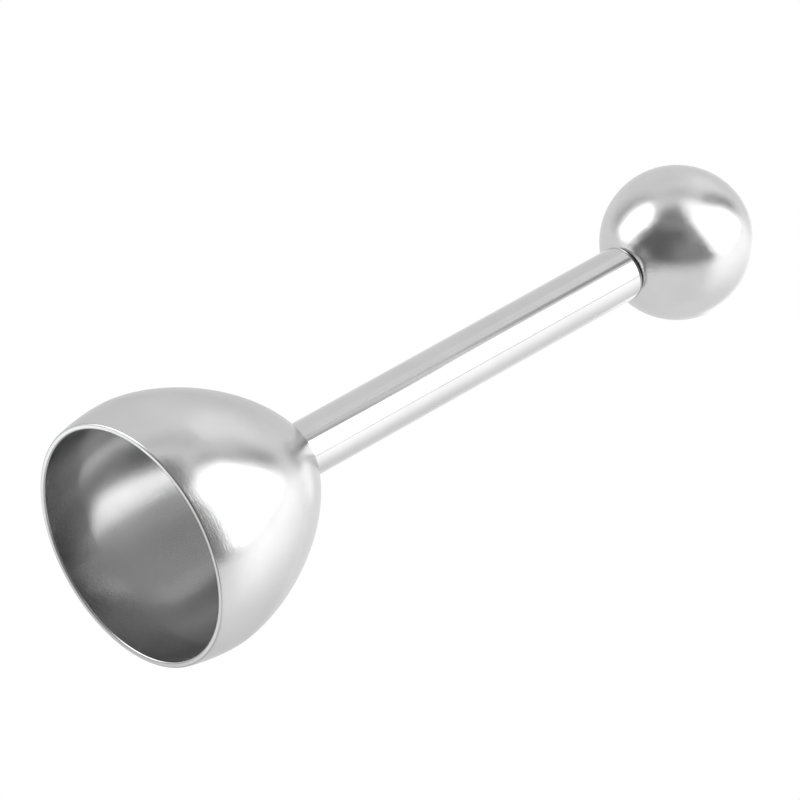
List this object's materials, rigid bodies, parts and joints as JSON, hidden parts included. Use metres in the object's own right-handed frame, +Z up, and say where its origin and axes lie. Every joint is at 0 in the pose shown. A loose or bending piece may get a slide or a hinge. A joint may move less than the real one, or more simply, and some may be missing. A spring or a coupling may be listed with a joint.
{
  "type": "egg topper",
  "caption": "Spring-loaded egg topper: a steel bell that sits on the egg, a tube handle with a sprung hammer inside, and a ball knob that draws the hammer back.",
  "frame": {"origin": "centre of the bell's rim, in the plane of the ground rim that the tool stands on", "axes": "+Z up the handle from the bell to the ball, +X along the pin that crosses the hammer, +Y to the other side"},
  "size_m": [0.0422, 0.0422, 0.1323],
  "materials": {
    "satin_steel": "satin pressed stainless steel with a bright ground rim",
    "polished_steel": "polished stainless steel with faint lengthwise lines",
    "ball_steel": "polished stainless steel, slightly soft reflections",
    "hard_steel": "turned and hardened steel",
    "spring_steel": "drawn spring wire and strip",
    "zinc_plate": "bright zinc plate on steel",
    "bush_brass": "turned brass"
  },
  "bodies": {
    "handle": {"bell": "satin_steel", "bell_screw": "zinc_plate", "bell_lock_washer": "spring_steel", "bell_washer": "zinc_plate", "handle_tube": "polished_steel", "anvil_plug": "hard_steel", "guide_bush": "bush_brass", "upper_spring_washer": "zinc_plate", "drive_spring": "spring_steel"},
    "spring_follower": {"lower_spring_washer": "zinc_plate"},
    "striker": {"ball_knob": "ball_steel", "pull_rod": "polished_steel", "hammer": "hard_steel", "hammer_pin": "spring_steel"}
  },
  "joints": [
    {"name": "knob_pull", "type": "slide", "parent": "handle", "child": "spring_follower", "axis": [0, 0, 1], "range_m": [0, 0.018], "stiffness_N_per_m": 945, "springref_m": -0.0078, "deforming": ["drive_spring"]},
    {"name": "knob_spin", "type": "hinge", "parent": "spring_follower", "child": "striker", "pos_m": [0, 0, 0.0583], "axis": [0, 0, 1], "continuous": true}
  ]
}
